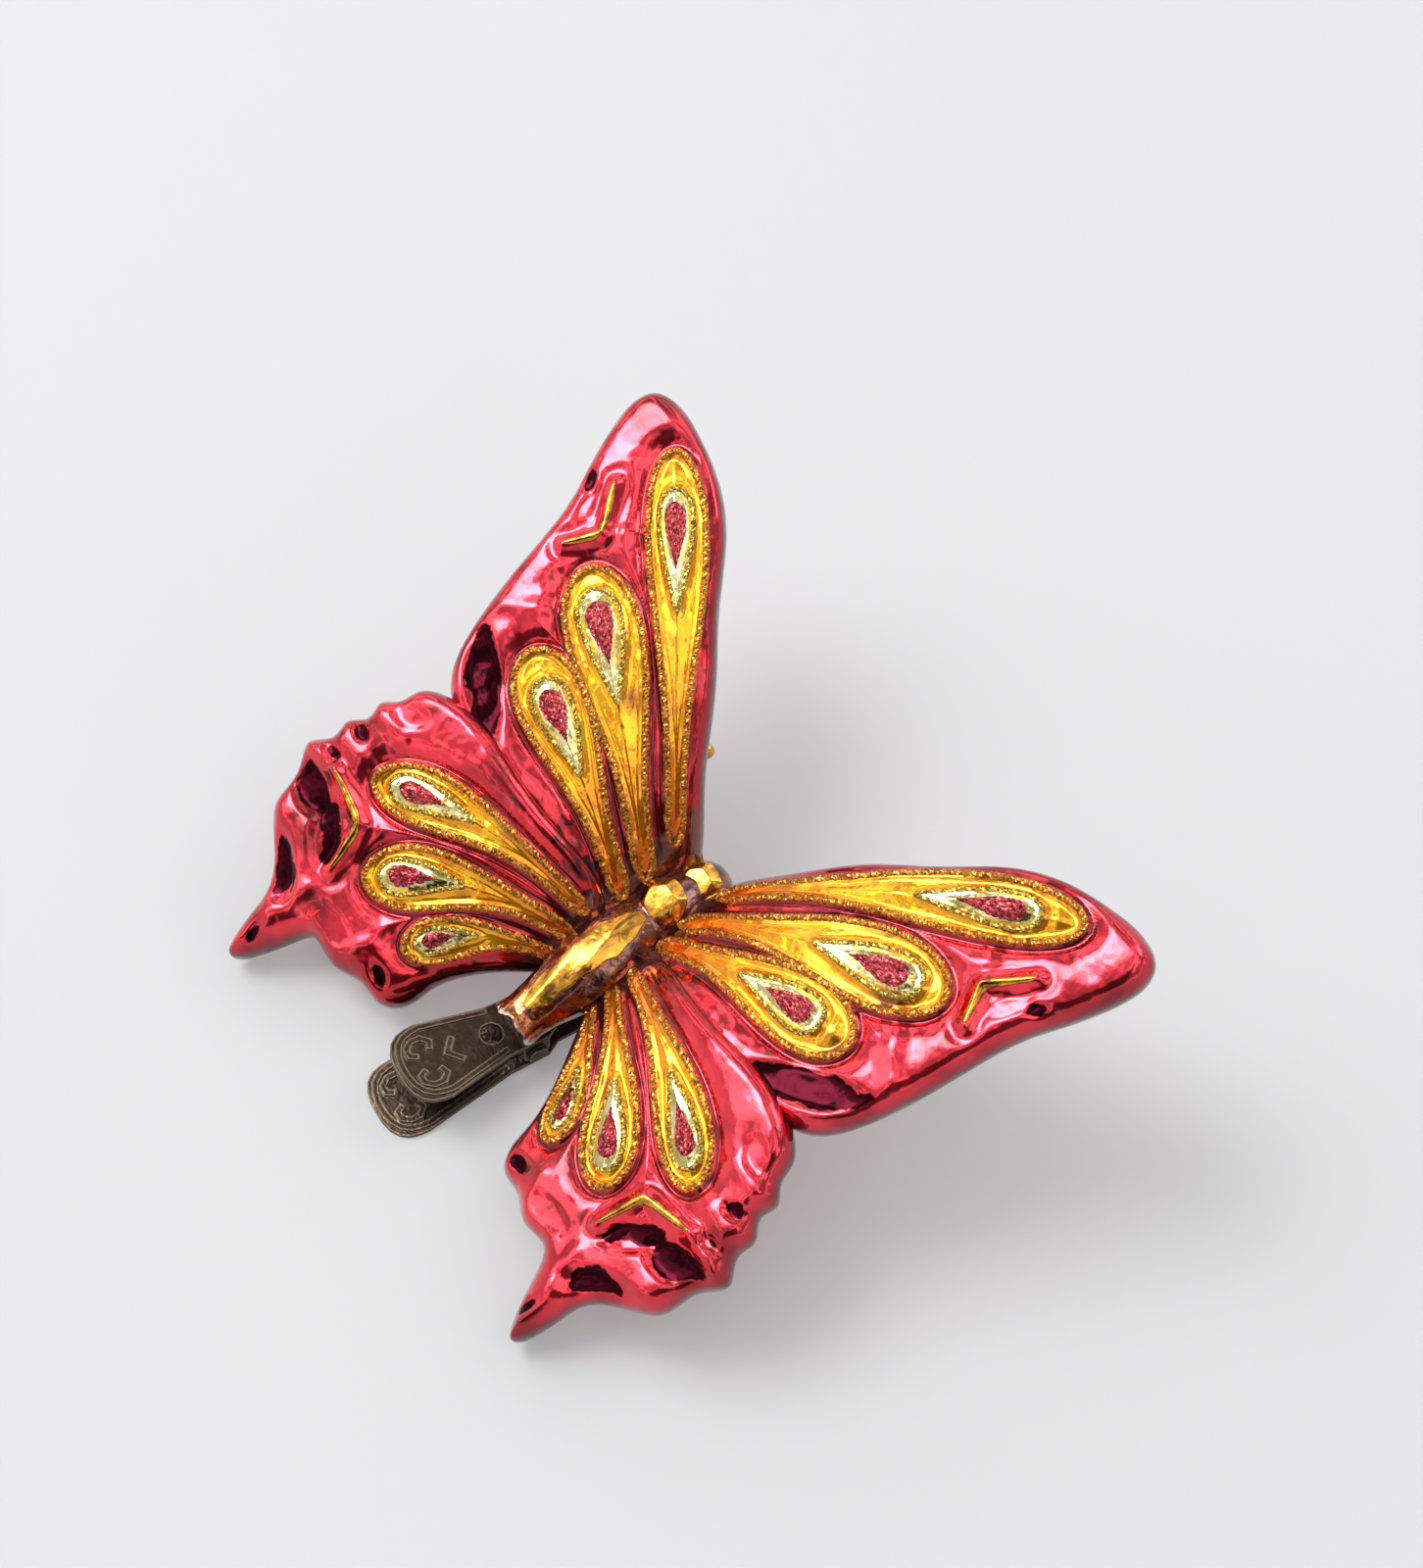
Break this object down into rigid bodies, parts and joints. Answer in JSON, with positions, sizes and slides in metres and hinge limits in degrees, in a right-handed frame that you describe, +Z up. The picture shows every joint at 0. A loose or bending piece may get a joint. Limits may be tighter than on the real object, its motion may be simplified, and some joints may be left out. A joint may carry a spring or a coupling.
{
  "type": "butterfly ornament with clip",
  "caption": "Mirrored blown-glass butterfly with lacquered teardrop wing pattern on a stamped spring clip that grips a twig or cloth edge.",
  "frame": {"origin": "centre of the bounding box's bottom, on the floor", "axes": "+X to the butterfly's right, +Y towards its head, +Z up"},
  "size_m": [0.1194, 0.0966, 0.0532],
  "materials": {
    "red_glass": "red lacquer over mirrored blown glass",
    "gold_drops": "amber gold lacquer over mirrored glass",
    "gold_glitter": "coarse gold glitter in clear glue",
    "pale_drops": "pale gold lacquer over mirrored glass",
    "red_glitter": "coarse red glitter in clear glue",
    "chevron": "gold paint",
    "gold_paint": "gold paint over glass",
    "clip_metal": "dark bronzed sheet metal, worn on raised edges",
    "spring_steel": "darkened spring wire"
  },
  "bodies": {
    "ornament": {"antenna_left": "gold_paint", "antenna_right": "gold_paint", "body_gold": "gold_paint", "chevron_fore_left": "chevron", "chevron_fore_right": "chevron", "chevron_hind_left": "chevron", "chevron_hind_right": "chevron", "collar_gold": "gold_paint", "glass_body": "red_glass", "gold_drops_fore_left": "gold_drops", "gold_drops_fore_right": "gold_drops", "gold_drops_hind_left": "gold_drops", "gold_drops_hind_right": "gold_drops", "head_gold": "gold_paint", "inner_glitter_fore_left": "gold_glitter", "inner_glitter_fore_right": "gold_glitter", "inner_glitter_hind_left": "gold_glitter", "inner_glitter_hind_right": "gold_glitter", "neck_cup": "clip_metal", "outer_glitter_fore_left": "gold_glitter", "outer_glitter_fore_right": "gold_glitter", "outer_glitter_hind_left": "gold_glitter", "outer_glitter_hind_right": "gold_glitter", "pale_drops_fore_left": "pale_drops", "pale_drops_fore_right": "pale_drops", "pale_drops_hind_left": "pale_drops", "pale_drops_hind_right": "pale_drops", "pivot_pin": "clip_metal", "red_glitter_fore_left": "red_glitter", "red_glitter_fore_right": "red_glitter", "red_glitter_hind_left": "red_glitter", "red_glitter_hind_right": "red_glitter", "rivet": "clip_metal", "torsion_spring": "spring_steel", "upper_lever": "clip_metal"},
    "lower_jaw": {"lower_lever": "clip_metal"}
  },
  "joints": [
    {"name": "clip_hinge", "type": "hinge", "parent": "ornament", "child": "lower_jaw", "pos_m": [-0.00206, -0.01797, 0.0034], "axis": [-0.9954, 0.0958, 0], "range_deg": [0, 18], "stiffness_Nm_per_rad": 0.15, "springref_deg": -17.19, "deforming": ["torsion_spring"]}
  ]
}
